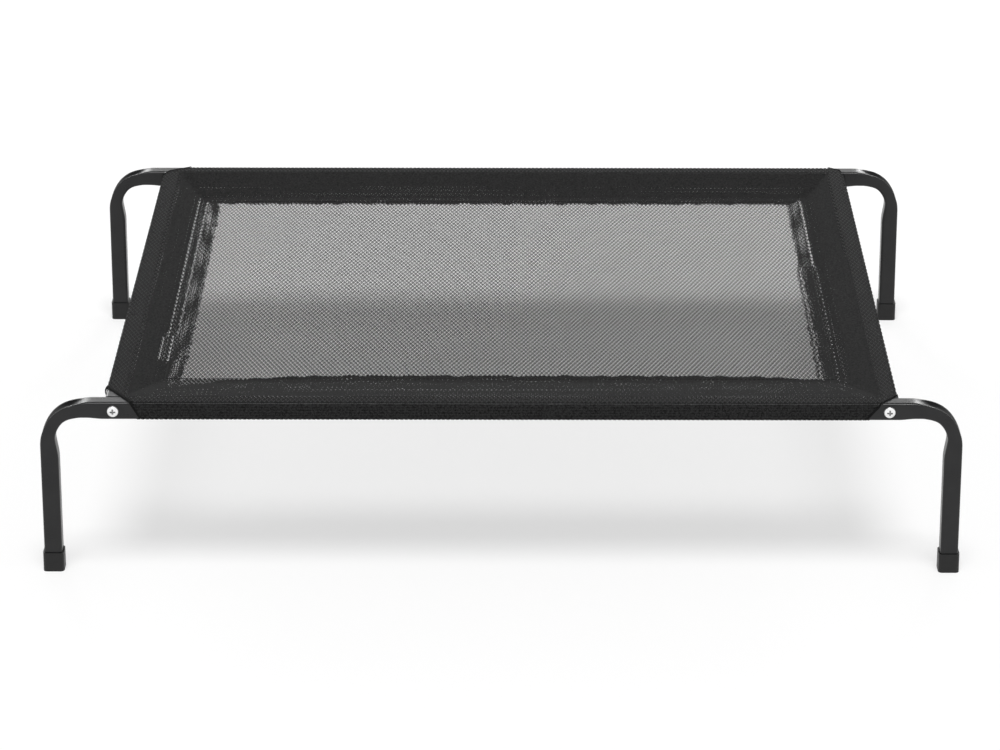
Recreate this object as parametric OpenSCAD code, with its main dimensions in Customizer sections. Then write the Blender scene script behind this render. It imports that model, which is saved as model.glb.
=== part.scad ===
// Raised pet cot: a mesh sling stretched on four square tubes, on bent tube legs.
// X runs along the front, Y from front to rear, Z up. The origin is on the floor under the centre.

/* [Frame] */
// Width over the outer faces of the legs
frame_w = 920; // [700:10:1200]
// Depth over the outer faces of the front and rear tubes
frame_d = 760; // [500:10:1000]
// Height of the tubes' tops above the floor
frame_h = 182; // [140:1:300]
// From a leg's outer face to the side bar's outer face
bar_inset = 65; // [60:1:120]

/* [Tube] */
// Outside width of the square tube
tube = 18; // [16:0.5:22]
// Wall of the tube
tube_wall = 1.2; // [0.8:0.1:1.8]
// Outside radius along the tube's four edges
tube_edge = 2.5; // [2:0.1:4]
// Centre-line radius of the bends above the legs
bend_r = 33; // [26:1:45]

/* [Foot caps] */
// Height of a foot cap
cap_h = 20; // [14:0.5:30]
// Side wall of a foot cap
cap_wall = 1.4; // [1:0.1:2.5]
// Floor under the leg's end
cap_base = 3; // [2:0.1:6]
// Rounding around the underside of a cap
cap_round = 1.5; // [0.5:0.1:1.9]
// Gap between a cap and its leg
cap_gap = 0.1; // [0.05:0.05:0.3]

/* [Screws] */
// Shank diameter of a corner screw
screw_d = 6; // [5:0.5:8]
// Diameter of the domed head
head_d = 12; // [10:0.5:15]
// Height of the straight rim under the dome
head_rim = 0.9; // [0.5:0.1:1.5]
// Height of the dome above the rim
head_dome = 2.6; // [1.5:0.1:3]
// Length of each arm of the cross recess, from tip to tip
recess_l = 6; // [4:0.5:8]
// Width of each arm of the cross recess
recess_w = 1.5; // [1:0.1:2]
// Depth of the cross recess
recess_depth = 1.8; // [1:0.1:2.2]
// Length of shank that enters the threaded plug
screw_reach = 18; // [10:1:24]
// Room around the shank in the tube's cross hole
hole_gap = 0.3; // [0.2:0.05:0.6]

/* [Threaded plugs] */
// Length of a plug in the side bar's end
plug_l = 25; // [15:1:40]
// Gap between a plug and the bar's bore
plug_gap = 0.1; // [0.05:0.05:0.3]
// Gap between the plug's thread and the shank
thread_gap = 0.1; // [0.05:0.05:0.2]

/* [Sling] */
// Thickness of one layer of cloth
cloth = 0.8; // [0.5:0.1:1.5]
// How far the middle of the sling lies below the tubes' tops
middle_drop = 11; // [6:0.5:14]
// From the front or rear tube's outer face to the single layer
long_border = 105; // [70:1:150]
// From a side bar's outer face to the single layer
side_border = 71; // [55:1:110]
// Width of the sewn hem at the front and rear borders
long_hem = 10; // [5:1:25]
// Width of the sewn hem at the side borders
side_hem = 18; // [5:1:25]
// From the side bar's inner face to the end of the front and rear pockets
long_end = 7; // [3:1:40]
// From the leg frame's inner face to the end of the side pockets
side_end = 20; // [3:1:60]
// How far a pocket's end slants inwards from top to bottom
end_slant = 12; // [0:1:25]
// Gap between neighbouring pockets under the corners
pocket_gap = 1; // [0.5:0.1:4]
// Openings across the single layer, from side to side
open_across = 12; // [6:1:12]
// Openings across the single layer, from front to rear
open_deep = 10; // [5:1:12]
// Width of the strips between the openings
strip_w = 22; // [10:1:24]

/* [Corner bindings] */
// Width of a binding along the cut corner
binding_w = 5; // [3:0.5:10]
// Thickness of a binding
binding_t = 1; // [0.6:0.1:2]

/* [Hidden] */
$fn = 64;
// The tube's hollow
bore = tube - 2 * tube_wall;
bore_edge = max(tube_edge - tube_wall, 0.2);
// Centre lines of the leg frames, legs and side bars
rail_y = frame_d / 2 - tube / 2;
rail_z = frame_h - tube / 2;
leg_x = frame_w / 2 - tube / 2;
bar_out = frame_w / 2 - bar_inset;
bar_x = bar_out - tube / 2;
// Inner faces of the bars and leg frames, and the underside of all four
bar_in = bar_out - tube;
rail_out = frame_d / 2;
rail_in = rail_out - tube;
tube_base = frame_h - tube;
// Where the bends meet the legs and the rail
bend_x = leg_x - bend_r;
bend_z = rail_z - bend_r;
// Foot cap and screw
cap_w = tube + 2 * (cap_gap + cap_wall);
cap_edge = tube_edge + cap_gap + cap_wall;
dome_r = (pow(head_d / 2, 2) + pow(head_dome, 2)) / (2 * head_dome);
hole_d = screw_d + 2 * hole_gap;
// Outer faces of the cloth on the tubes
cloth_x = bar_out + cloth;
cloth_y = rail_out + cloth;
// Ends of the pockets along the top of the tubes
pocket_x = bar_in - long_end;
pocket_y = rail_in - side_end;
// Edge of the single layer, and of the hems around it
single_x = bar_out - side_border;
single_y = rail_out - long_border;
hem_x = single_x + side_hem;
hem_y = single_y + long_hem;
middle_z = frame_h - middle_drop;
// From one opening of the single layer to the next
open_step = [2 * single_x / open_across, 2 * single_y / open_deep];
// Cutting shapes reach past what they cut by this much
past = 1;

ends = [-1, 1];
coat = [0.1, 0.1, 0.11];
mesh = [0.07, 0.07, 0.07];
edging = [0.03, 0.03, 0.03];
plastic = [0.05, 0.05, 0.05];
zinc = [0.78, 0.79, 0.8];
plug_steel = [0.6, 0.6, 0.58];

// A square with round corners
module round_square(width, edge) {
    square([width, width - 2 * edge], center = true);
    square([width - 2 * edge, width], center = true);
    for (x = ends, y = ends)
        translate([x, y] * (width / 2 - edge))
            circle(edge);
}

module tube_section() {
    difference() {
        round_square(tube, tube_edge);
        round_square(bore, bore_edge);
    }
}

// One leg and its bend, on the right
module leg() {
    translate([leg_x, 0, cap_base])
        linear_extrude(bend_z - cap_base)
            tube_section();
    translate([bend_x, 0, bend_z])
        rotate([90, 0, 0])
            rotate_extrude(angle = 90)
                translate([bend_r, 0])
                    tube_section();
}

// A rail with a leg at each end, in the plane y = 0, drilled for the two screws
module leg_frame() {
    color(coat)
        difference() {
            union() {
                leg();
                mirror([1, 0, 0])
                    leg();
                translate([0, 0, rail_z])
                    rotate([90, 0, 90])
                        linear_extrude(2 * bend_x, center = true)
                            tube_section();
            }
            for (side = ends)
                translate([side * bar_x, 0, rail_z])
                    rotate([90, 0, 0])
                        cylinder(d = hole_d, h = tube + 2 * past, center = true);
        }
}

module front_leg_frame() {
    translate([0, -rail_y, 0])
        leg_frame();
}

module rear_leg_frame() {
    translate([0, rail_y, 0])
        leg_frame();
}

// A straight tube between the inner faces of the leg frames
module side_bar(side) {
    color(coat)
        translate([side * bar_x, 0, rail_z])
            rotate([90, 0, 0])
                linear_extrude(2 * rail_in, center = true)
                    tube_section();
}

module left_side_bar() side_bar(-1);
module right_side_bar() side_bar(1);

// A cap's side view, round at both lower corners
module cap_outline() {
    straight = cap_w / 2 - cap_round;
    translate([-cap_w / 2, cap_round])
        square([cap_w, cap_h - cap_round]);
    translate([-straight, 0])
        square([2 * straight, cap_h]);
    for (x = ends)
        translate([x * straight, cap_round])
            circle(cap_round);
}

// A moulded cup over the end of a leg
module foot_cap(side, row) {
    color(plastic)
        translate([side * leg_x, row * rail_y, 0])
            difference() {
                intersection() {
                    linear_extrude(cap_h)
                        round_square(cap_w, cap_edge);
                    for (turn = [0, 90])
                        rotate([90, 0, turn])
                            linear_extrude(cap_w + 2 * past, center = true)
                                cap_outline();
                }
                translate([0, 0, cap_base])
                    linear_extrude(cap_h)
                        round_square(tube + 2 * cap_gap, tube_edge + cap_gap);
            }
}

module front_left_foot_cap() foot_cap(-1, -1);
module front_right_foot_cap() foot_cap(1, -1);
module rear_left_foot_cap() foot_cap(-1, 1);
module rear_right_foot_cap() foot_cap(1, 1);

// Puts a piece at a corner, with the leg frame's outer face at z = 0 and z pointing outwards
module at_corner(side, row) {
    translate([side * bar_x, row * rail_out, rail_z])
        rotate([-90 * row, 0, 0])
            children();
}

// A square plug in the end of a side bar, with a hole for the screw
module bar_plug(side, row) {
    color(plug_steel)
        at_corner(side, row)
            translate([0, 0, -tube - plug_l])
                linear_extrude(plug_l)
                    difference() {
                        round_square(bore - 2 * plug_gap, bore_edge);
                        circle(d = screw_d + 2 * thread_gap);
                    }
}

module front_left_bar_plug() bar_plug(-1, -1);
module front_right_bar_plug() bar_plug(1, -1);
module rear_left_bar_plug() bar_plug(-1, 1);
module rear_right_bar_plug() bar_plug(1, 1);

// A screw through the leg frame into the plug, with a cross recess in its domed head
module corner_screw(side, row) {
    head_h = head_rim + head_dome;
    color(zinc)
        at_corner(side, row)
            difference() {
                union() {
                    translate([0, 0, -tube - screw_reach])
                        cylinder(d = screw_d, h = tube + screw_reach);
                    cylinder(d = head_d, h = head_rim);
                    intersection() {
                        translate([0, 0, head_h - dome_r])
                            sphere(dome_r);
                        cylinder(d = head_d, h = head_h);
                    }
                }
                for (turn = [0, 90])
                    rotate(turn)
                        translate([-recess_l / 2, -recess_w / 2, head_h - recess_depth])
                            cube([recess_l, recess_w, head_h]);
            }
}

module front_left_corner_screw() corner_screw(-1, -1);
module front_right_corner_screw() corner_screw(1, -1);
module rear_left_corner_screw() corner_screw(-1, 1);
module rear_right_corner_screw() corner_screw(1, 1);

// Corners of a rectangle at one height, counter-clockwise from the front left
function corners(x, y, z) = [[-x, -y, z], [x, -y, z], [x, y, z], [-x, y, z]];

// One face of the panel: its cut outline on the tubes, the tubes' inner edges, then the hems
function panel_face(rise) = concat(
    [for (p = [
        [-pocket_x, -cloth_y], [pocket_x, -cloth_y], [cloth_x, -pocket_y], [cloth_x, pocket_y],
        [pocket_x, cloth_y], [-pocket_x, cloth_y], [-cloth_x, pocket_y], [-cloth_x, -pocket_y]
    ]) [p.x, p.y, frame_h + rise]],
    corners(bar_in, rail_in, frame_h + rise),
    corners(hem_x, hem_y, middle_z + rise)
);

// The sling's upper layer: flat on the tubes, sloping down to the hems, flat and open in the middle
module mesh_panel() {
    cut = 8;
    hem = cut + 4;
    count = hem + 4;
    on_tubes = [for (i = [0 : 3]) [2 * i, 2 * i + 1, cut + (i + 1) % 4, cut + i]];
    at_cuts = [for (i = [0 : 3]) [2 * i + 1, (2 * i + 2) % cut, cut + (i + 1) % 4]];
    slopes = [for (i = [0 : 3]) [cut + i, cut + (i + 1) % 4, hem + (i + 1) % 4, hem + i]];
    middle = [[for (i = [0 : 3]) hem + i]];
    lower = concat(on_tubes, at_cuts, slopes, middle);
    upper = [for (face = lower) [for (i = [len(face) - 1 : -1 : 0]) face[i] + count]];
    edge = [for (i = [0 : cut - 1]) [i, i + count, (i + 1) % cut + count, (i + 1) % cut]];
    color(mesh)
        difference() {
            polyhedron(concat(panel_face(0), panel_face(cloth)), concat(lower, upper, edge));
            panel_openings();
        }
}

// The grid of openings that lets light through the single layer
module panel_openings() {
    for (i = [0 : open_across - 1], j = [0 : open_deep - 1])
        translate([
            (i + 0.5) * open_step.x - single_x, (j + 0.5) * open_step.y - single_y, middle_z + cloth / 2
        ])
            cube([open_step.x - strip_w, open_step.y - strip_w, cloth + 2 * past], center = true);
}

// Section of a pocket: down the tube's outer face, under the tube, then up to its hem.
// X is the distance inwards from the tube's outer face.
module pocket_section(border, hem) {
    polygon([
        [-cloth, frame_h], [-cloth, tube_base - cloth], [tube, tube_base - cloth],
        [border - hem, middle_z - cloth], [border, middle_z - cloth],
        [border, middle_z], [border - hem, middle_z],
        [tube, tube_base], [0, tube_base], [0, frame_h]
    ]);
}

// View of a pocket across its tube, slanting in at both ends from top to bottom
module pocket_ends(half) {
    foot = tube_base - cloth;
    polygon([
        [-half, frame_h], [half, frame_h], [half - end_slant, foot], [end_slant - half, foot]
    ]);
}

// Plan of a pocket, which draws in towards its hem so that neighbours stay apart
module pocket_plan(half, out, inner, hem_half, hem, single_half, single) {
    polygon([
        [-half, -out], [half, -out], [half, -inner],
        [hem_half, -hem], [single_half, -single],
        [-single_half, -single], [-hem_half, -hem], [-half, -inner]
    ]);
}

// The pocket around the front leg frame's rail
module long_pocket() {
    color(mesh)
        intersection() {
            translate([0, -rail_out, 0])
                rotate([90, 0, 90])
                    linear_extrude(2 * pocket_x, center = true)
                        pocket_section(long_border, long_hem);
            rotate([90, 0, 0])
                linear_extrude(frame_d + 2 * past + 2 * cloth, center = true)
                    pocket_ends(pocket_x);
            linear_extrude(frame_h)
                pocket_plan(
                    pocket_x, cloth_y, rail_in,
                    hem_x - pocket_gap, hem_y, single_x - pocket_gap, single_y
                );
        }
}

// The pocket around the right side bar, laid out as if it ran along the front
module side_pocket() {
    color(mesh)
        rotate(90)
            intersection() {
                translate([0, -bar_out, 0])
                    rotate([90, 0, 90])
                        linear_extrude(2 * pocket_y, center = true)
                            pocket_section(side_border, side_hem);
                rotate([90, 0, 0])
                    linear_extrude(frame_w, center = true)
                        pocket_ends(pocket_y);
                linear_extrude(frame_h)
                    pocket_plan(
                        pocket_y, cloth_x, bar_in,
                        hem_y - pocket_gap, hem_x, single_y - pocket_gap, single_x
                    );
            }
}

module front_pocket() long_pocket();
module rear_pocket() rotate(180) long_pocket();
module left_pocket() rotate(180) side_pocket();
module right_pocket() side_pocket();

// A band that covers the cut edge at one corner: across the top, and down both tubes
module corner_binding(side, row) {
    cut_angle = atan2(cloth_y - pocket_y, pocket_x - cloth_x);
    cut_l = norm([cloth_x - pocket_x, cloth_y - pocket_y]);
    top = frame_h + cloth;
    color(edging)
        mirror([side < 0 ? 1 : 0, 0, 0])
            mirror([0, row < 0 ? 1 : 0, 0]) {
                translate([0, 0, top])
                    linear_extrude(binding_t)
                        intersection() {
                            square([cloth_x + binding_t, cloth_y + binding_t]);
                            translate([cloth_x, pocket_y])
                                rotate(cut_angle)
                                    translate([-cut_l, 0])
                                        square([3 * cut_l, binding_w]);
                        }
                translate([0, cloth_y + binding_t, 0])
                    rotate([90, 0, 0])
                        linear_extrude(binding_t)
                            binding_end(pocket_x, top);
                translate([cloth_x, 0, 0])
                    rotate([90, 0, 90])
                        linear_extrude(binding_t)
                            binding_end(pocket_y, top);
            }
}

// The part of a binding that hangs down a tube's outer face along the pocket's slanted end
module binding_end(half, top) {
    foot = tube_base - cloth;
    polygon([
        [half, top], [half - end_slant, foot],
        [half - end_slant - binding_w, foot], [half - binding_w, top]
    ]);
}

module front_left_corner_binding() corner_binding(-1, -1);
module front_right_corner_binding() corner_binding(1, -1);
module rear_left_corner_binding() corner_binding(-1, 1);
module rear_right_corner_binding() corner_binding(1, 1);

front_leg_frame();
rear_leg_frame();
left_side_bar();
right_side_bar();
front_left_foot_cap();
front_right_foot_cap();
rear_left_foot_cap();
rear_right_foot_cap();
front_left_bar_plug();
front_right_bar_plug();
rear_left_bar_plug();
rear_right_bar_plug();
front_left_corner_screw();
front_right_corner_screw();
rear_left_corner_screw();
rear_right_corner_screw();
mesh_panel();
front_pocket();
rear_pocket();
left_pocket();
right_pocket();
front_left_corner_binding();
front_right_corner_binding();
rear_left_corner_binding();
rear_right_corner_binding();
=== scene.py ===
import math

import bmesh
import bpy
from mathutils import Matrix, Vector


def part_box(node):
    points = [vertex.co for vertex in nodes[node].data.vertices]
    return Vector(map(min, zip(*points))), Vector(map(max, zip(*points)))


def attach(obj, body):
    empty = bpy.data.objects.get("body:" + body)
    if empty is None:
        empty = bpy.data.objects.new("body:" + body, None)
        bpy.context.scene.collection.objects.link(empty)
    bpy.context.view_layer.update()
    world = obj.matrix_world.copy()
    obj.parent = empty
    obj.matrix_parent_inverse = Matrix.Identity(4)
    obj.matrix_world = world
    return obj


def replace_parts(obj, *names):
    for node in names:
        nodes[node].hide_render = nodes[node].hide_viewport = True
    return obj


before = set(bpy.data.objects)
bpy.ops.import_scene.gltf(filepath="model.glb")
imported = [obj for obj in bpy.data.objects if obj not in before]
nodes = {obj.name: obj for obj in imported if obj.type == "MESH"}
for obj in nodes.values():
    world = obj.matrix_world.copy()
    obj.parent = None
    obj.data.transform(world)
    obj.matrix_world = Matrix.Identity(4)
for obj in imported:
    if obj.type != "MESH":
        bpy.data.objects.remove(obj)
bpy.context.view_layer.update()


# Leg frames: one square steel tube each, bent down into a leg at both ends on a hand bender and powder
# coated satin black. The bender pinched the bends: both walls draw in there, and the outer one is hollow.
bar_low, bar_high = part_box("left_side_bar")
tube = bar_high.z - bar_low.z
half_tube = tube / 2
tube_round = 0.0025
tube_wall = 0.0012
frame_top = bar_high.z
rail_z = frame_top - half_tube
bend_radius = 0.033
bend_length = bend_radius * math.pi / 2
bend_z = rail_z - bend_radius

# What the bender pressed in: how deep, where it grows and where it fades. Places are measured along the
# tube's middle line, from the end of the straight rail towards the foot.
outer_pinch = (0.001, (-0.012, 0.008), (0.032, 0.058))
inner_pinch = (0.0012, (-0.022, -0.006), (0.046, 0.072))
inner_dent = (0.0018, (0.006, 0.026), (0.046, 0.072))
outer_hollow = (0.0045, (-0.006, 0.01), (0.034, 0.056))
bulge_share = 0.16
wall_level = 0.9

# A noise value lies mostly between these, so colours and gloss are spread between them.
gloss_noise = (0.3, 0.7)
colour_noise = (0.35, 0.65)


def new_material(name):
    material = bpy.data.materials.new(name)
    material.use_nodes = True
    tree = material.node_tree
    return material, tree, tree.nodes["Principled BSDF"]


def add_noise(tree, scale, detail=2, squash=(1, 1, 1)):
    """Noise in metres of the piece's own space; squash packs the pattern closer along an axis."""
    place = tree.nodes.new("ShaderNodeTexCoord")
    mapping = tree.nodes.new("ShaderNodeMapping")
    mapping.inputs["Scale"].default_value = squash
    noise = tree.nodes.new("ShaderNodeTexNoise")
    noise.inputs["Scale"].default_value = scale
    noise.inputs["Detail"].default_value = detail
    tree.links.new(place.outputs["Object"], mapping.inputs["Vector"])
    tree.links.new(mapping.outputs["Vector"], noise.inputs["Vector"])
    return noise.outputs["Fac"]


def add_range(tree, value, low, high, socket):
    """Spreads a noise value between two numbers on a shader socket."""
    spread = tree.nodes.new("ShaderNodeMapRange")
    spread.inputs["From Min"].default_value, spread.inputs["From Max"].default_value = gloss_noise
    spread.inputs["To Min"].default_value = low
    spread.inputs["To Max"].default_value = high
    tree.links.new(value, spread.inputs["Value"])
    tree.links.new(spread.outputs["Result"], socket)


def add_colours(tree, value, dark, light, socket):
    """Blends two colours by a noise value."""
    ramp = tree.nodes.new("ShaderNodeValToRGB")
    for stop, position, colour in zip(ramp.color_ramp.elements, colour_noise, (dark, light)):
        stop.position = position
        stop.color = (*colour, 1)
    tree.links.new(value, ramp.inputs["Fac"])
    tree.links.new(ramp.outputs["Color"], socket)


def add_bump(tree, value, strength, depth, shader):
    bump = tree.nodes.new("ShaderNodeBump")
    bump.inputs["Strength"].default_value = strength
    bump.inputs["Distance"].default_value = depth
    tree.links.new(value, bump.inputs["Height"])
    tree.links.new(bump.outputs["Normal"], shader.inputs["Normal"])


def satin_coat():
    """Powder coat: black, a little uneven in gloss, with a fine orange peel."""
    material, tree, shader = new_material("satin_black_coat")
    shader.inputs["IOR"].default_value = 1.44
    cloudy = add_noise(tree, scale=45, detail=3)
    peel = add_noise(tree, scale=700)
    colour = shader.inputs["Base Color"]
    add_colours(tree, cloudy, dark=(0.003, 0.003, 0.0035), light=(0.007, 0.007, 0.0075), socket=colour)
    add_range(tree, cloudy, low=0.26, high=0.36, socket=shader.inputs["Roughness"])
    add_bump(tree, peel, strength=0.25, depth=0.0001, shader=shader)
    return material


def show(piece, name, material):
    """Turns a bmesh into a smooth-shaded piece of the cot."""
    mesh = bpy.data.meshes.new(name)
    piece.to_mesh(mesh)
    piece.free()
    mesh.materials.append(material)
    mesh.shade_smooth()
    mesh.set_sharp_from_angle(angle=math.radians(40))
    made = bpy.data.objects.new(name, mesh)
    bpy.context.scene.collection.objects.link(made)
    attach(made, "root")
    return made


def draw_out(piece, ring, steps, by):
    """Extrudes a ring of edges by a vector, several times, and returns the last ring."""
    for _ in range(steps):
        grown = bmesh.ops.extrude_edge_only(piece, edges=ring)["geom"]
        verts = [g for g in grown if isinstance(g, bmesh.types.BMVert)]
        bmesh.ops.translate(piece, verts=verts, vec=by)
        ring = [g for g in grown if isinstance(g, bmesh.types.BMEdge) and all(v in verts for v in g.verts)]
    return ring


def ends_of(edges):
    """The vertices of some edges, each once, in the order of the edges."""
    return list(dict.fromkeys(v for e in edges for v in e.verts))


def turn_bend(piece, ring, centre, steps=28):
    """Spins a ring of edges a quarter turn about the bend's axis and returns the last ring."""
    spun = bmesh.ops.spin(
        piece, geom=ring + ends_of(ring), cent=centre, axis=(0, 1, 0), angle=math.pi / 2, steps=steps,
        use_duplicate=False)
    return [g for g in spun["geom_last"] if isinstance(g, bmesh.types.BMEdge)]


def ease(low, high, value):
    """Goes smoothly from 0 to 1 between low and high."""
    share = min(max((value - low) / (high - low), 0), 1)
    return share * share * (3 - 2 * share)


def pressed_in(along, depth, grows, fades):
    """How far the bender pressed a wall in, at a place along the tube."""
    return depth * ease(*grows, along) * (1 - ease(*fades, along))


def pinch(vert, leg_x, rail_y):
    """Draws the walls of a bend together, as far as the place along the bend asks."""
    bend_x = leg_x - bend_radius
    side = math.copysign(1, vert.co.x)
    across = abs(vert.co.x)
    up = vert.co.z
    on_leg = up < bend_z
    on_rail = across < bend_x
    angle = math.atan2(across - bend_x, up - bend_z)
    if on_leg:
        along = bend_length + bend_z - up
        off = across - leg_x
    elif on_rail:
        along = across - bend_x
        off = up - rail_z
    else:
        along = angle * bend_radius
        off = math.hypot(across - bend_x, up - bend_z) - bend_radius
    outer = pressed_in(along, *outer_pinch)
    inner = pressed_in(along, *inner_pinch) + pressed_in(along, *inner_dent)
    level = off / half_tube
    depth = (vert.co.y - rail_y) / half_tube
    moved = off - outer * (1 + level) / 2 + inner * (1 - level) / 2
    if level > wall_level:
        moved -= pressed_in(along, *outer_hollow) * (1 - min(abs(depth), 1) ** 2)
    if abs(depth) > wall_level:
        bulge = bulge_share * (outer + inner) * (1 - level * level)
        vert.co.y += math.copysign(bulge, depth)
    if on_leg:
        vert.co.x = side * (leg_x + moved)
    elif on_rail:
        vert.co.z = rail_z + moved
    else:
        vert.co.x = side * (bend_x + (bend_radius + moved) * math.sin(angle))
        vert.co.z = bend_z + (bend_radius + moved) * math.cos(angle)


def leg_frame(node):
    """Draws the tube from the left foot, round both bends, to the right foot."""
    low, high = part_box(node)
    leg_x = high.x - half_tube
    rail_y = (low.y + high.y) / 2
    bend_x = leg_x - bend_radius
    near_bend = 0.024
    near_steps = 8
    leg_steps = 4
    rail_steps = 20
    near_step = near_bend / near_steps
    leg_step = (bend_z - low.z - near_bend) / leg_steps
    rail_step = 2 * (bend_x - near_bend) / rail_steps
    piece = bmesh.new()
    bmesh.ops.create_grid(piece, x_segments=1, y_segments=1, size=half_tube)
    bmesh.ops.bevel(
        piece, geom=piece.verts[:], offset=tube_round, segments=4, profile=0.5, affect="VERTICES",
        material=-1)
    flats = [e for e in piece.edges if e.calc_length() > half_tube]
    bmesh.ops.subdivide_edges(piece, edges=flats, cuts=7)
    bmesh.ops.translate(piece, verts=piece.verts[:], vec=(-leg_x, rail_y, low.z))
    bmesh.ops.delete(piece, geom=piece.faces[:], context="FACES_ONLY")
    foot = piece.edges[:]
    ring = draw_out(piece, foot, leg_steps, (0, 0, leg_step))
    ring = draw_out(piece, ring, near_steps, (0, 0, near_step))
    ring = turn_bend(piece, ring, (-bend_x, rail_y, bend_z))
    ring = draw_out(piece, ring, near_steps, (near_step, 0, 0))
    ring = draw_out(piece, ring, rail_steps, (rail_step, 0, 0))
    ring = draw_out(piece, ring, near_steps, (near_step, 0, 0))
    ring = turn_bend(piece, ring, (bend_x, rail_y, bend_z))
    ring = draw_out(piece, ring, near_steps, (0, 0, -near_step))
    ring = draw_out(piece, ring, leg_steps, (0, 0, -leg_step))
    for vert in piece.verts:
        pinch(vert, leg_x, rail_y)
    bore = 1 - tube_wall / half_tube
    for end, x in ((foot, -leg_x), (ring, leg_x)):
        lip = draw_out(piece, end, 1, (0, 0, 0))
        bmesh.ops.scale(
            piece, verts=ends_of(lip), vec=(bore, bore, 1), space=Matrix.Translation((-x, -rail_y, 0)))
        inside = draw_out(piece, lip, 1, (0, 0, tube))
        bmesh.ops.contextual_create(piece, geom=inside)
    bmesh.ops.recalc_face_normals(piece, faces=piece.faces[:])
    made = show(piece, "bent_" + node, coat)
    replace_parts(made, node)


coat = satin_coat()
for row in ("front", "rear"):
    leg_frame(row + "_leg_frame")


# Side bars: two straight lengths of the same coated tube, cut square and butted against the leg frames.
# Only their ends show, at the sling's cut corners.
def dress(node, material):
    """Gives a CAD node one material."""
    materials = nodes[node].data.materials
    materials.clear()
    materials.append(material)


for side in ("left", "right"):
    dress(side + "_side_bar", coat)


# Threaded plugs: square steel blocks pressed into the bars' ends, which take the corner screws.
# They are bare, sawn and tapped steel, and stay out of sight inside the bars.
def sawn_steel():
    material, tree, shader = new_material("sawn_plug_steel")
    shader.inputs["Metallic"].default_value = 1.0
    lines = add_noise(tree, scale=250, squash=(1, 12, 1))
    colour = shader.inputs["Base Color"]
    add_colours(tree, lines, dark=(0.3, 0.3, 0.29), light=(0.48, 0.47, 0.45), socket=colour)
    add_range(tree, lines, low=0.35, high=0.55, socket=shader.inputs["Roughness"])
    add_bump(tree, lines, strength=0.2, depth=0.0002, shader=shader)
    return material


corners = [(row, side) for row in ("front", "rear") for side in ("left", "right")]
plug_finish = sawn_steel()
for row, side in corners:
    dress(f"{row}_{side}_bar_plug", plug_finish)


# Corner screws: zinc-plated machine screws with a domed head and a cross recess.
# Each one goes through the leg frame into the plug of a side bar. Painted shade darkens the cross recess
# and the rim round the head.
screw_x = (abs(bar_low.x) + abs(bar_high.x)) / 2
recess_half_length = 0.0027
recess_half_width = 0.0009
# The share of the rim's painted shade that darkens the cross recess.
recess_shade = 0.75
# Past this distance from the screw's middle, painted shade darkens the head's rim fully.
unshaded_radius = 0.0054


def grey(level):
    return (level, level, level)


def add_math(tree, operation, first, second=0.0):
    """A Math node on two values; each one is a socket or a number."""
    node = tree.nodes.new("ShaderNodeMath")
    node.operation = operation
    for value, socket in zip((first, second), node.inputs):
        if isinstance(value, float):
            socket.default_value = value
        else:
            tree.links.new(value, socket)
    return node.outputs["Value"]


def painted_shade_parts(tree):
    """How dark the painted shade is: full on the rim of any corner screw, less in its cross recess,
    otherwise 0.
    """
    place = tree.nodes.new("ShaderNodeTexCoord")
    parts = tree.nodes.new("ShaderNodeSeparateXYZ")
    tree.links.new(place.outputs["Object"], parts.inputs["Vector"])
    aside = add_math(tree, "SUBTRACT", add_math(tree, "ABSOLUTE", parts.outputs["X"]), screw_x)
    aside = add_math(tree, "ABSOLUTE", aside)
    above = add_math(tree, "ABSOLUTE", add_math(tree, "SUBTRACT", parts.outputs["Z"], rail_z))
    arms = []
    for along, across in ((aside, above), (above, aside)):
        short = add_math(tree, "LESS_THAN", along, recess_half_length)
        narrow = add_math(tree, "LESS_THAN", across, recess_half_width)
        arms.append(add_math(tree, "MULTIPLY", short, narrow))
    cross = add_math(tree, "MULTIPLY", add_math(tree, "MAXIMUM", *arms), recess_shade)
    square = add_math(
        tree, "ADD", add_math(tree, "MULTIPLY", aside, aside), add_math(tree, "MULTIPLY", above, above))
    # Outside that radius lies the rim, which is darkened with painted shade.
    rim = add_math(tree, "GREATER_THAN", square, unshaded_radius * unshaded_radius)
    return add_math(tree, "MAXIMUM", rim, cross)


def bright_zinc():
    material, tree, shader = new_material("bright_zinc")
    shader.inputs["Metallic"].default_value = 0.55
    brushed = add_noise(tree, scale=1800, detail=3)
    shade_mix = tree.nodes.new("ShaderNodeMix")
    shade_mix.data_type = "RGBA"
    sockets = {socket.identifier: socket for socket in (*shade_mix.inputs, *shade_mix.outputs)}
    # The dark grey is painted shade, mixed in over the recess and the rim.
    sockets["B_Color"].default_value = (*grey(0.1), 1)
    add_colours(tree, brushed, dark=grey(0.86), light=grey(0.96), socket=sockets["A_Color"])
    tree.links.new(painted_shade_parts(tree), shade_mix.inputs["Factor"])
    tree.links.new(sockets["Result_Color"], shader.inputs["Base Color"])
    add_range(tree, brushed, low=0.34, high=0.46, socket=shader.inputs["Roughness"])
    add_bump(tree, brushed, strength=0.06, depth=0.0001, shader=shader)
    return material


zinc = bright_zinc()
for row, side in corners:
    dress(f"{row}_{side}_corner_screw", zinc)


# Foot caps: cups moulded in black plastic with a fine grain, a little wider than the tube.
# They are pushed over the leg ends, and their tight fit holds them there.
def moulded_plastic():
    material, tree, shader = new_material("moulded_cap_plastic")
    shader.inputs["IOR"].default_value = 1.42
    cloudy = add_noise(tree, scale=160, detail=3)
    grain = add_noise(tree, scale=2600)
    add_colours(tree, cloudy, dark=grey(0.004), light=grey(0.008), socket=shader.inputs["Base Color"])
    add_range(tree, cloudy, low=0.42, high=0.56, socket=shader.inputs["Roughness"])
    add_bump(tree, grain, strength=0.25, depth=0.0001, shader=shader)
    return material


plastic = moulded_plastic()
for row, side in corners:
    dress(f"{row}_{side}_foot_cap", plastic)


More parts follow.
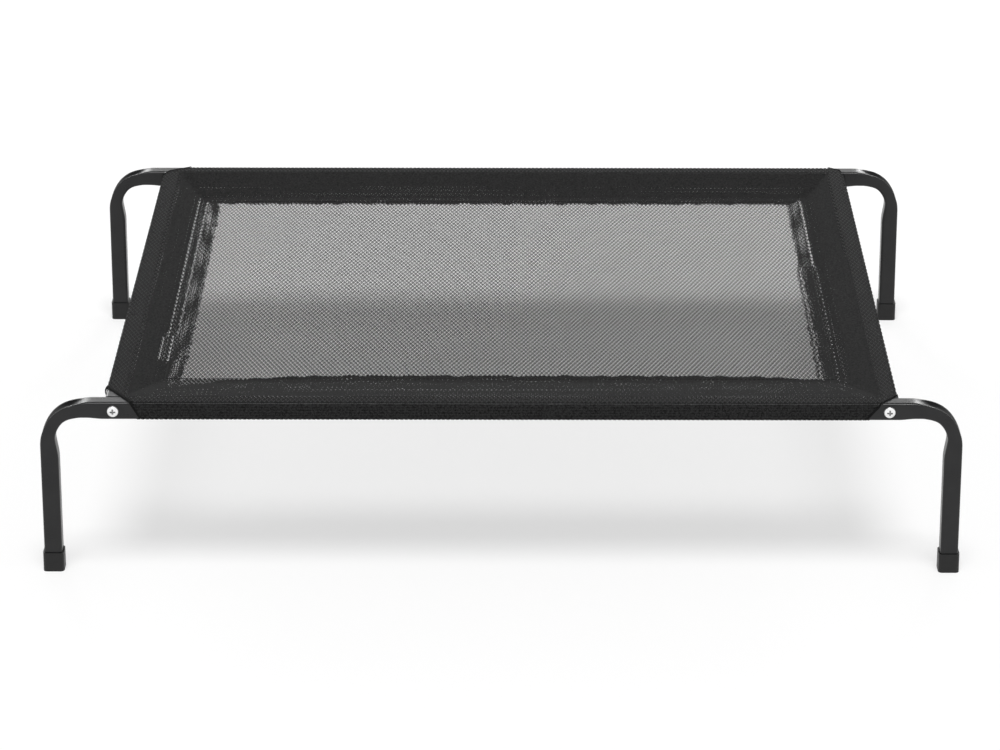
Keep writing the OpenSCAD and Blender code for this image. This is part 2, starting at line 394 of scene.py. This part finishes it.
# Mesh panel: the sling's upper layer, woven from flat coated yarns with open square holes between them.
# It lies on the four tubes, slopes down inside them and is stretched flat in the middle.
# The whole sling is one cut; the panel is kept as four quarters so that no mesh is too heavy.

# The weave. A yarn lifts at each crossing, and a warp passes over some wefts at a time and sways sideways.
warp_pitch = 0.0023
warp_width = 0.00085
warp_lift = 0.0001
warp_sway = 0.00055
weft_pitch = 0.0029
weft_width = 0.00164
weft_lift = 0.0006
float_length = 2
cloth = 0.0008

# Where the cloth is pressed on a tube or sewn down, the yarns lift by a smaller share and lie wider, on
# the side borders from spread_x outwards.
pressed = 0.5
sewn_flat = 0.25
pressed_spread = 1.25
hem_spread = 1.5
spread_x = 0.355

# The tubes inside the cloth, and the heights of its layers.
leg_low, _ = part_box("front_leg_frame")
panel_low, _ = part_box("mesh_panel")
rail_out = abs(leg_low.y)
rail_in = rail_out - tube
bar_out = abs(bar_low.x)
bar_in = bar_out - tube
middle_z = panel_low.z + cloth / 2
top_z = frame_top + cloth / 2
base_z = frame_top - tube - cloth / 2

# From the cot's middle outwards: where the flaps below end, where the panel starts to slope up, and where
# it turns over the tubes' outer edges. A share of the slope curves at its foot, and the middle sags.
single_x = 0.324
single_y = 0.275
hem_x = 0.342
hem_y = 0.285
edge_start = 0.0035
flat_x = bar_out - edge_start
flat_y = rail_out - edge_start
slope_foot = 0.2
sag = 0.0015

# The flaps in section: the radii of their folds, where they have left the tube, and the side hems' seam,
# measured back from the flap's end.
edge_radius = 0.003
leaving_radius = 0.006
hem_radius = 0.05
past_tube = 0.045
side_seam = 0.0155

# The flaps' loose ends: from how far back they give, how they stretch, and how their edges run out of line.
# A wave is (size, rate, start), and a draw is (depth, where it starts, over what length). The side flaps
# stretch both ways from the place where they are in step with the panel.
long_loose = 0.05
long_stretch = 0.036
long_waves = ((0.0011, 205, 1), (0.0008, 331, 0), (0.0006, 97, 2))
front_shift = 0.0045
rear_shift = -0.0045
left_draw = (0.029, 0.15, 0.17)
right_draw = (0.012, 0.2, 0.12)
hem_tooth = 0.002
tooth_length = 0.008
side_loose = 0.04
side_stretch = 0.0305
side_waves = ((0.0006, 153, 2), (0.0005, 287, 0))
left_in_step = 0.045
right_in_step = 0.095

# The loose mouth of the left pocket, at its front end.
mouth_gape = 0.0012
mouth_height = 0.014
mouth_grows = (0.300, 0.338)


def coated_yarn():
    """Black coated polyester yarn: dark and uneven, with a dull shine that varies along each strand."""
    material, tree, shader = new_material("coated_mesh_yarn")
    shader.inputs["Specular IOR Level"].default_value = 0.012
    shader.inputs["Sheen Weight"].default_value = 0.048
    shader.inputs["Sheen Roughness"].default_value = 0.6
    fibre = add_noise(tree, scale=900)
    strand = add_noise(tree, scale=520)
    add_colours(tree, strand, dark=grey(0.006), light=grey(0.027), socket=shader.inputs["Base Color"])
    add_range(tree, fibre, low=0.6, high=0.75, socket=shader.inputs["Roughness"])
    add_bump(tree, fibre, strength=0.3, depth=0.0002, shader=shader)
    return material


def panel_height(u, v):
    """The panel's height: flat on the tubes, easing down to the hems, dished a little in the middle."""
    slope_x = (abs(u) - hem_x) / (bar_in - hem_x)
    slope_y = (abs(v) - hem_y) / (rail_in - hem_y)
    slope = min(max(slope_x, slope_y, 0), 1)
    if slope < slope_foot:
        rise = slope * slope / (2 * slope_foot)
    else:
        rise = (slope - slope_foot / 2) / (1 - slope_foot / 2)
    dish = max(1 - (u / hem_x) ** 2, 0) * max(1 - (v / hem_y) ** 2, 0)
    return middle_z + (top_z - middle_z) * rise - sag * dish


def rounded(turns, steps=4):
    """A path through turns (inwards, height, radius), with each turn replaced by short chords."""
    path = []
    for number, (inwards, height, radius) in enumerate(turns):
        corner = Vector((inwards, height))
        if not radius:
            path.append(corner)
            continue
        before = (Vector(turns[number - 1][:2]) - corner).normalized()
        after = (Vector(turns[number + 1][:2]) - corner).normalized()
        reach = radius / math.tan(before.angle(after) / 2)
        for step in range(steps + 1):
            share = step / steps
            start = corner + before * reach * (1 - share)
            end = corner + after * reach * share
            path.append(start.lerp(end, share))
    return path


def walk(path, distance):
    """The point that far along a path, and the direction that points away from the tube there."""
    for start, end in zip(path, path[1:]):
        length = (end - start).length
        if distance <= length or end is path[-1]:
            break
        distance -= length
    way = (end - start) / length
    return start + way * distance, Vector((way.y, -way.x))


def path_length(path):
    return sum((end - start).length for start, end in zip(path, path[1:]))


def pocket_path(border, hem):
    """A pocket in section: over the tube's edge, down its face, under it and up to the hem."""
    under_z = middle_z - 2 * cloth
    skin = cloth / 2
    return rounded([
        (edge_start, top_z, 0), (-skin, top_z, edge_radius), (-skin, base_z, edge_radius),
        (tube, base_z, leaving_radius), (border - hem, under_z, hem_radius), (border, under_z, 0)])


long_path = pocket_path(rail_out - single_y, hem_y - single_y)
side_path = pocket_path(bar_out - single_x, hem_x - single_x)
long_reach = path_length(long_path)
side_reach = path_length(side_path)


def ripple(waves, place):
    """How far a hem runs out of line at a place along it."""
    return sum(size * math.sin(rate * place + start) for size, rate, start in waves)


def front_draw(u):
    """The front hem is drawn towards the tube at both corners, more at the left."""
    depth, start, length = left_draw if u < 0 else right_draw
    return -depth * max((abs(u) - start) / length, 0) ** 2


def gape(u, v, distance):
    """How far the left pocket's loose mouth stands off its bar; elsewhere 0."""
    if u > 0 or v > 0:
        return 0
    down = min(max((distance - edge_start) / mouth_height, 0), 1)
    return mouth_gape * ease(*mouth_grows, -v) * math.sin(math.pi * down)


def lay(u, v, up):
    """Puts a point of the flat cloth in its place on the cot, raised by up from the cloth's middle.
    The flaps stretch a little more than the panel, so their yarns run in and out of step with it."""
    if abs(v) > flat_y:
        distance = abs(v) - flat_y
        loose = ease(long_reach - long_loose, long_reach, distance)
        drawn = front_draw(u) + front_shift if v < 0 else rear_shift
        tooth = hem_tooth * math.sin(math.pi * u / warp_pitch)
        tooth *= ease(long_reach - tooth_length, long_reach, distance)
        point, out = walk(long_path, distance + loose * (ripple(long_waves, u) + drawn) + tooth)
        point += out * up * pressed
        return (u * (1 + long_stretch * loose), math.copysign(rail_out - point.x, v), point.y)
    if abs(u) > flat_x:
        distance = abs(u) - flat_x
        loose = ease(side_reach - side_loose, side_reach, distance)
        point, out = walk(side_path, distance + loose * ripple(side_waves, v))
        crimp = sewn_flat if distance > past_tube else pressed
        point += out * (up * crimp + gape(u, v, distance))
        in_step = left_in_step if u < 0 else right_in_step
        moved = side_stretch * (v - in_step) * loose
        return (math.copysign(bar_out - point.x, u), v + moved, point.y)
    if abs(u) > hem_x or abs(v) > hem_y:
        up *= pressed
    elif abs(u) > single_x:
        up *= sewn_flat
    return (u, v, panel_height(u, v) + up)


def yarn_spread(u, v):
    """Yarns pressed on a tube or between layers lie flatter and wider, but not in the side hems."""
    if abs(u) > flat_x + side_reach - side_seam:
        return 1
    if abs(u) > flat_x + past_tube or abs(v) > flat_y + past_tube:
        return hem_spread
    return pressed_spread if abs(u) > spread_x or abs(v) > hem_y else 1


def weave(piece, warps, rows, wefts, columns, place, wide=1):
    """Interlaces flat yarns: warps over the numbered rows, and wefts over the numbered columns.
    place(u, v, up) sets each point. A warp sways sideways half way along each float."""
    for strands, crossings, is_warp in ((warps, rows, True), (wefts, columns, False)):
        first, last = crossings
        for strand in strands:
            ribbon = bmesh.ops.create_grid(piece, x_segments=1, y_segments=last - first, size=1)["verts"]
            for number, vert in enumerate(ribbon):
                step, edge = divmod(number, 2)
                warp, weft = (strand, first + step) if is_warp else (first + step, strand)
                over = 1 if (warp + weft // float_length) % 2 else -1
                sway = 1 if (warp + (weft + 1) // float_length) % 2 else -1
                u = (warp + 0.5) * warp_pitch
                v = (weft + 0.5) * weft_pitch
                aside = (edge - 0.5) * yarn_spread(u, v) * wide
                if is_warp:
                    vert.co = place(u + aside * warp_width + sway * warp_sway, v, over * warp_lift)
                else:
                    vert.co = place(u, v + aside * weft_width, -over * weft_lift)


def trim(piece, point, away):
    """Cuts off what lies past a point in the given direction."""
    geom = piece.verts[:] + piece.edges[:] + piece.faces[:]
    bmesh.ops.bisect_plane(
        piece, geom=geom, dist=1e-7, plane_co=point, plane_no=away, clear_outer=True, clear_inner=False)


# The cut across each corner, as points (along x, along y) from the side bar to the leg frame.
# It starts and ends just outside the tubes' faces.
cut_clear = 0.0012
cut_x = bar_out + cut_clear
cut_y = rail_out + cut_clear
corner_cuts = {
    ("front", "left"): [(cut_x, 0.338), (0.3685, cut_y)],
    ("front", "right"): [(cut_x, 0.358), (0.378, cut_y)],
    ("rear", "left"): [(cut_x, 0.352), (0.3885, 0.368), (0.366, cut_y)],
    ("rear", "right"): [(cut_x, 0.354), (0.392, 0.372), (0.380, cut_y)],
}
side_sign = {"left": -1, "right": 1}
row_sign = {"front": -1, "rear": 1}
warp_count = int(flat_x / warp_pitch - 0.5) + 1
weft_count = int(flat_y / weft_pitch - 0.5) + 1
mesh_yarn = coated_yarn()
for row, side in corners:
    left = side == "left"
    front = row == "front"
    piece = bmesh.new()
    weave(
        piece,
        warps=range(-warp_count, 0) if left else range(warp_count),
        rows=(-weft_count - 1, 0) if front else (0, weft_count),
        wefts=range(-weft_count, 0) if front else range(weft_count),
        columns=(-warp_count - 1, 0) if left else (0, warp_count),
        place=lay)
    cuts = [Vector((side_sign[side] * x, row_sign[row] * y, 0)) for x, y in corner_cuts[row, side]]
    for start, end in zip(cuts, cuts[1:]):
        along = end - start
        away = Vector((abs(along.y) * side_sign[side], abs(along.x) * row_sign[row], 0))
        trim(piece, start, away)
    quarter = show(piece, f"mesh_panel_{row}_{side}", mesh_yarn)
    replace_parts(quarter, "mesh_panel")


# Pockets: the sling's four flaps, turned over the tubes and sewn back to the panel from below.
# Each one is woven on from the panel. Its turned-in allowance makes a third layer beside the tube,
# and the weave is torn open beside the side seams, in slits that the light shines through.

# Each corner: how far the flaps' ends slant back down the tubes' faces, where the window's corner is, and
# how far a flap laps past the mitre between them.
end_slant = {
    ("front", "left"): 0.010, ("front", "right"): 0.015, ("rear", "left"): 0.012, ("rear", "right"): 0.012}
window_corners = {
    ("front", "left"): (0.3295, 0.3005), ("front", "right"): (0.325, 0.282),
    ("rear", "left"): (0.325, 0.272), ("rear", "right"): (0.319, 0.273)}
mitre_lap = 0.004

# Half of each flap's length along its tube: as it is woven, and between its cut ends, on average.
long_woven = 0.384
side_woven = 0.360

# The layers: how far they lie apart, how wide the allowance's yarns lie, the seam of the long hems,
# measured back from the flap's end, and how wide a slit stands open.
fold_gap = 0.0012
lining_gap = 0.0012
side_lining_spread = 1.5
long_lining_spread = 0.82
long_seam = 0.012
slit_opening = 0.0013


def fold(u, v, up):
    """The hem's edge turned back on itself, half a yarn out of step."""
    return lay(u - math.copysign(warp_pitch / 2, u), v - math.copysign(weft_pitch / 2, v), up - fold_gap)


def lining(u, v, up):
    """The turned-in allowance, pressed against the panel from below, half a yarn out of step with it."""
    x = u + warp_pitch / 2
    y = v + weft_pitch / 2
    return (x, y, panel_height(x, y) - lining_gap + up * pressed)


def pocket_end(piece, row, side, long):
    """Cuts a pocket's end: slanting down the tube's face, then along the mitre to the window's corner."""
    sx, sy = side_sign[side], row_sign[row]
    out_x, out_y = corner_cuts[row, side][-1 if long else 0]
    window_x, window_y = window_corners[row, side]
    outwards = Vector((sx, 0, 0)) if long else Vector((0, sy, 0))
    top = Vector((sx * out_x, sy * out_y, top_z))
    foot = top - outwards * end_slant[row, side] - Vector((0, 0, top_z - base_z))
    inner = Vector((sx * bar_in, sy * rail_in, base_z)) + outwards * mitre_lap
    window = Vector((sx * window_x, sy * window_y, base_z)) + outwards * mitre_lap
    for start, first, second in (
            (top, foot - top, inner - top), (inner, Vector((0, 0, 1)), window - inner)):
        away = first.cross(second).normalized()
        trim(piece, start, away if away.dot(outwards) > 0 else -away)


def flip(numbers, sign):
    """Yarn numbers on the right or rear half of the cloth, or their mirror on the left or front half."""
    first, last = numbers
    return (first, last) if sign > 0 else (-last - 1, -first - 1)


long_yarns = int((long_reach - ((weft_count + 0.5) * weft_pitch - flat_y)) / weft_pitch) + 1
last_weft = weft_count + long_yarns - 1
long_half = int(long_woven / warp_pitch)
columns = (-long_half, long_half - 1)
lined = (int((single_y + long_seam) / weft_pitch), int(rail_in / weft_pitch) - 1)
long_layers = (
    ((weft_count, last_weft), lay, 1),
    ((last_weft - 2, last_weft), fold, 1),
    (lined, lining, long_lining_spread))
for row in ("front", "rear"):
    piece = bmesh.new()
    for numbers, place, wide in long_layers:
        rows = flip(numbers, row_sign[row])
        warps = range(columns[0], columns[1] + 1)
        weave(piece, warps, rows, range(rows[0], rows[1] + 1), columns, place, wide)
    for side in ("left", "right"):
        pocket_end(piece, row, side, True)
    pocket = show(piece, f"woven_{row}_pocket", mesh_yarn)
    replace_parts(pocket, row + "_pocket")

# Each side hem from front to rear, in stretches: where one ends, the flap's yarns that have a slit before
# them, and the flap's yarn under the inner edge of the lining.
side_yarns = int((side_reach - ((warp_count + 0.5) * warp_pitch - flat_x)) / warp_pitch) + 1
last_warp = warp_count + side_yarns - 1
seam_warp = warp_count + int((side_reach - side_seam) / warp_pitch)
side_stretches = {
    "left": [
        (-0.235, (), seam_warp - 1),
        (-0.155, (seam_warp - 6, seam_warp - 2), seam_warp - 7),
        (side_woven, (seam_warp - 4, seam_warp), seam_warp - 5)],
    "right": [
        (0.065, (seam_warp - 2, seam_warp, last_warp - 1), last_warp - 2),
        (side_woven, (seam_warp,), seam_warp - 1)]}


def over_flap(warp):
    """The lining's yarn that lies over this yarn of a side flap. The flap's yarn lies half a pitch past
    its number on the way back to the cot's middle, and the lining's a whole pitch past its own."""
    return round((single_x + side_reach + flat_x) / warp_pitch - (warp + 0.5) - 1)


def weave_strips(piece, side, first, last, slits, place, rows, wefts, wide=1):
    """Weaves a side layer's yarns first to last, parted before each slit so that the slit stands open."""
    starts = [first] + sorted(slit for slit in slits if first < slit <= last)
    ends = [start - 1 for start in starts[1:]] + [last]
    for number, run in enumerate(zip(starts, ends)):
        columns = flip(run, side_sign[side])
        moved = side_sign[side] * number * slit_opening
        weave(
            piece, range(columns[0], columns[1] + 1), rows, wefts, columns,
            lambda u, v, up: place(u + moved, v, up), wide)


side_half = int(side_woven / weft_pitch)
outer = int(bar_in / warp_pitch) - 1
for side in ("left", "right"):
    piece = bmesh.new()
    first_row = -side_half
    for stretch_end, slits, inner in side_stretches[side]:
        rows = (first_row, min(int(stretch_end / weft_pitch), side_half - 1))
        wefts = range(rows[0] + (first_row > -side_half), rows[1] + 1)
        lining_slits = [over_flap(slit) + 1 for slit in slits]
        weave_strips(piece, side, warp_count, last_warp, slits, lay, rows, wefts)
        weave_strips(piece, side, last_warp - 1, last_warp, (), fold, rows, wefts)
        weave_strips(
            piece, side, over_flap(inner), outer, lining_slits, lining, rows, wefts, side_lining_spread)
        first_row = rows[1]
    for row in ("front", "rear"):
        pocket_end(piece, row, side, False)
    pocket = show(piece, f"woven_{side}_pocket", mesh_yarn)
    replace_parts(pocket, side + "_pocket")


# Corner bindings: the cut edges at the sling's corners, rolled over and overlocked with black thread.
# Each one runs from the foot of the side bar's face, up over the corner and down the leg frame's face.

# Half the width and half the thickness of each roll, on top of the corner and down the leg frame's face.
roll_size = {
    ("front", "left"): (0.0021, 0.0012), ("front", "right"): (0.0014, 0.0008),
    ("rear", "left"): (0.0009, 0.0004), ("rear", "right"): (0.0009, 0.0004)}
face_size = (0.001, 0.0006)
tail_size = (0.0008, 0.0004)

# How far down the faces the roll is led, how much it leans out and narrows on top, and how far in it lies.
tail_gap = 0.0015
bar_falls = (0.011, 0.007, 0.004)
face_fall = 0.004
face_slant = 0.2
corner_lean = 0.6
narrowing = 0.6
inset_x = 0.0012
inset_y = 0.0016


def overlocked_edge():
    material, tree, shader = new_material("overlocked_edge")
    shader.inputs["Specular IOR Level"].default_value = 0.05
    threads = add_noise(tree, scale=1500)
    add_colours(tree, threads, dark=grey(0.004), light=grey(0.012), socket=shader.inputs["Base Color"])
    add_range(tree, threads, low=0.6, high=0.8, socket=shader.inputs["Roughness"])
    add_bump(tree, threads, strength=0.5, depth=0.0003, shader=shader)
    return material


def binding_route(row, side):
    """The roll's route: points, the way out from the cot there, and the roll's half width and thickness."""
    sx, sy = side_sign[side], row_sign[row]
    out_x, out_y, up = Vector((sx, 0, 0)), Vector((0, sy, 0)), Vector((0, 0, 1))
    slant = end_slant[row, side]
    wide, thick = roll_size[row, side]
    cuts = [Vector((sx * x, sy * y, top_z + cloth / 2)) for x, y in corner_cuts[row, side]]
    drop = top_z - base_z - tail_gap
    route = []
    for fall in (drop, *bar_falls):
        off = gape(sx * bar_out, cuts[0].y, edge_start + fall)
        point = cuts[0] + Vector((sx * off, -sy * slant * fall / drop, -fall))
        route.append((point, out_x, wide / 2, thick / 2))
    inset = Vector((-sx * inset_x, -sy * inset_y, -thick / 2))
    leans = [out_x] + [up] * (len(cuts) - 2) + [out_y]
    for cut, lean in zip(cuts, leans):
        full = lean is up or (row, side) == ("front", "left")
        out = (lean * corner_lean + up).normalized()
        route.append((cut + inset, out, wide if full else wide * narrowing, thick))
    for share, fall, size in ((face_slant, face_fall, face_size), (1, drop, tail_size)):
        route.append((cuts[-1] + Vector((-sx * slant * share, 0, -fall)), out_y, *size))
    return route


def roll(piece, route):
    """Sets flat rings along a route, square to it, and bridges them."""
    rings = []
    for number, (point, out, width, thick) in enumerate(route):
        before = route[max(number - 1, 0)][0]
        after = route[min(number + 1, len(route) - 1)][0]
        way = (after - before).normalized()
        across = out.cross(way).normalized()
        out = way.cross(across).normalized()
        place = Matrix((across * width, out * thick, way)).transposed().to_4x4()
        ring = bmesh.ops.create_circle(
            piece, segments=10, radius=1, matrix=Matrix.Translation(point) @ place)["verts"]
        rings.append(list(dict.fromkeys(e for v in ring for e in v.link_edges)))
    for ring, following in zip(rings, rings[1:]):
        bmesh.ops.bridge_loops(piece, edges=ring + following)
    for ring in (rings[0], rings[-1]):
        bmesh.ops.contextual_create(piece, geom=ring)
    bmesh.ops.recalc_face_normals(piece, faces=piece.faces[:])


edging = overlocked_edge()
for row, side in corners:
    piece = bmesh.new()
    roll(piece, binding_route(row, side))
    binding = show(piece, f"rolled_{row}_{side}_corner", edging)
    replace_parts(binding, f"{row}_{side}_corner_binding")


# Seam thread: black polyester lock stitches, in two rows along each side seam and one row along the
# front and rear hems. Each stitch dips into the cloth at both ends.
stitch_length = 0.0042
stitch_shows = 0.92
stitch_width = 0.0008
stitch_rise = 0.3
side_rows = (-0.0016, 0.0022)


def sewing_thread():
    material, tree, shader = new_material("black_sewing_thread")
    shader.inputs["Specular IOR Level"].default_value = 0.1
    twist = add_noise(tree, scale=2500)
    add_colours(tree, twist, dark=grey(0.005), light=grey(0.02), socket=shader.inputs["Base Color"])
    add_range(tree, twist, low=0.4, high=0.6, socket=shader.inputs["Roughness"])
    add_bump(tree, twist, strength=0.4, depth=0.0002, shader=shader)
    return material


def sew(piece, start, end):
    """A row of stitches on the panel from start to end."""
    way = (end - start).normalized()
    turn = way.to_track_quat("X", "Z").to_matrix().to_4x4()
    size = Matrix.Diagonal((stitch_length * stitch_shows / 2, stitch_width / 2, stitch_width / 2, 1))
    count = int((end - start).length / stitch_length)
    for number in range(count):
        spot = start + way * (number + 0.5) * stitch_length
        spot.z = panel_height(spot.x, spot.y) + stitch_width * stitch_rise
        bmesh.ops.create_icosphere(
            piece, subdivisions=1, radius=1, matrix=Matrix.Translation(spot) @ turn @ size)


thread = sewing_thread()
for side in ("left", "right"):
    piece = bmesh.new()
    for offset in side_rows:
        seam_x = side_sign[side] * (single_x + side_seam + offset)
        sew(piece, Vector((seam_x, -hem_y, 0)), Vector((seam_x, hem_y, 0)))
    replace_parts(show(piece, f"{side}_seam_thread", thread), side + "_pocket")
for row in ("front", "rear"):
    piece = bmesh.new()
    seam_y = row_sign[row] * hem_y
    sew(piece, Vector((-hem_x, seam_y, 0)), Vector((hem_x, seam_y, 0)))
    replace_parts(show(piece, f"{row}_seam_thread", thread), row + "_pocket")


# Studio: a pale floor under soft lamps that stand far away, so that the light is even.
# The floor looks white from any side and keeps the cot's shadow, faint in front and deeper at the back.
floor_size = 40
floor_colour = 0.9

# How much plain white the floor's looks hold, at places from front to rear (y in metres, share).
floor_front = -0.4
floor_rear = 0.6
floor_whites = ((-0.264, 0.57), (-0.144, 0.73), (0.04, 0.73), (0.2, 0.2), (0.26, 0.2), (0.4, 0.3))


def seen_directly(tree):
    """1 for a ray from the camera, a mirror-like surface or a clear one, otherwise 0."""
    path = tree.nodes.new("ShaderNodeLightPath")
    value = path.outputs["Is Camera Ray"]
    for name in ("Is Glossy Ray", "Is Transmission Ray"):
        value = add_math(tree, "MAXIMUM", value, path.outputs[name])
    return value


def studio_floor():
    """Pale where it lights the cot; where it is seen, its shadow is lifted by a share of plain white."""
    material = bpy.data.materials.new("white_floor")
    material.use_nodes = True
    tree = material.node_tree
    tree.nodes.clear()
    output = tree.nodes.new("ShaderNodeOutputMaterial")
    real = tree.nodes.new("ShaderNodeBsdfDiffuse")
    real.inputs["Color"].default_value = (*grey(floor_colour), 1)
    bright = tree.nodes.new("ShaderNodeBsdfDiffuse")
    bright.inputs["Color"].default_value = (1, 1, 1, 1)
    white = tree.nodes.new("ShaderNodeEmission")
    place = tree.nodes.new("ShaderNodeTexCoord")
    parts = tree.nodes.new("ShaderNodeSeparateXYZ")
    depth = tree.nodes.new("ShaderNodeMapRange")
    depth.inputs["From Min"].default_value = floor_front
    depth.inputs["From Max"].default_value = floor_rear
    fade = tree.nodes.new("ShaderNodeValToRGB")
    fade.color_ramp.interpolation = "EASE"
    for number, (y, share) in enumerate(floor_whites):
        spot = (y - floor_front) / (floor_rear - floor_front)
        stop = fade.color_ramp.elements[number] if number < 2 else fade.color_ramp.elements.new(spot)
        stop.position = spot
        stop.color = (*grey(share), 1)
    lifted = tree.nodes.new("ShaderNodeMixShader")
    mix = tree.nodes.new("ShaderNodeMixShader")
    tree.links.new(place.outputs["Object"], parts.inputs["Vector"])
    tree.links.new(parts.outputs["Y"], depth.inputs["Value"])
    tree.links.new(depth.outputs["Result"], fade.inputs["Fac"])
    tree.links.new(fade.outputs["Color"], lifted.inputs["Fac"])
    tree.links.new(bright.outputs["BSDF"], lifted.inputs[1])
    tree.links.new(white.outputs["Emission"], lifted.inputs[2])
    tree.links.new(seen_directly(tree), mix.inputs["Fac"])
    tree.links.new(real.outputs["BSDF"], mix.inputs[1])
    tree.links.new(lifted.outputs["Shader"], mix.inputs[2])
    tree.links.new(mix.outputs["Shader"], output.inputs["Surface"])
    return material


ground = bmesh.new()
bmesh.ops.create_grid(ground, x_segments=1, y_segments=1, size=floor_size / 2)
floor_mesh = bpy.data.meshes.new("floor")
ground.to_mesh(floor_mesh)
ground.free()
floor_mesh.materials.append(studio_floor())
floor = bpy.data.objects.new("floor", floor_mesh)
bpy.context.scene.collection.objects.link(floor)


def studio_walls():
    """White walls all round, fading to a dim ceiling; heights are the upward part of a direction."""
    wall_top = 0.42
    ceiling_start = 0.72
    ceiling_strength = 0.15
    world = bpy.data.worlds.new("studio")
    world.use_nodes = True
    tree = world.node_tree
    background = tree.nodes["Background"]
    background.inputs["Color"].default_value = (1, 1, 1, 1)
    place = tree.nodes.new("ShaderNodeTexCoord")
    parts = tree.nodes.new("ShaderNodeSeparateXYZ")
    fade = tree.nodes.new("ShaderNodeMapRange")
    fade.interpolation_type = "SMOOTHSTEP"
    fade.inputs["From Min"].default_value = wall_top
    fade.inputs["From Max"].default_value = ceiling_start
    fade.inputs["To Min"].default_value = 1.0
    fade.inputs["To Max"].default_value = ceiling_strength
    tree.links.new(place.outputs["Generated"], parts.inputs["Vector"])
    tree.links.new(parts.outputs["Z"], fade.inputs["Value"])
    tree.links.new(fade.outputs["Result"], background.inputs["Strength"])
    return world


bpy.context.scene.world = studio_walls()


def far_lamp(name, towards, softness, strength):
    """A large soft lamp far off in the given direction; softness is how wide it looks, in radians."""
    light = bpy.data.lights.new(name, "SUN")
    light.angle = softness
    light.energy = strength
    lamp = bpy.data.objects.new(name, light)
    lamp.rotation_euler = Vector(towards).to_track_quat("Z", "Y").to_euler()
    bpy.context.scene.collection.objects.link(lamp)


far_lamp("key_lamp", towards=(0, -0.3, 0.95), softness=0.45, strength=2.0)
far_lamp("rear_left_lamp", towards=(-0.26, 0.92, 0.29), softness=0.25, strength=0.28)
far_lamp("rear_right_lamp", towards=(0.26, 0.92, 0.29), softness=0.25, strength=0.28)

# The camera stands in front and above, and looks down a little. Its dip and turn are in radians.
camera_place = (0.01395, -4.14277, 1.6444)
camera_dip = 0.3637
camera_turn = 0.004
lens = bpy.data.cameras.new("camera")
lens.sensor_width = 36
lens.lens = 146.42
camera = bpy.data.objects.new("camera", lens)
camera.location = camera_place
camera.rotation_euler = (math.pi / 2 - camera_dip, 0, camera_turn)
bpy.context.scene.collection.objects.link(camera)
bpy.context.scene.camera = camera
bpy.context.scene.view_settings.view_transform = "Standard"
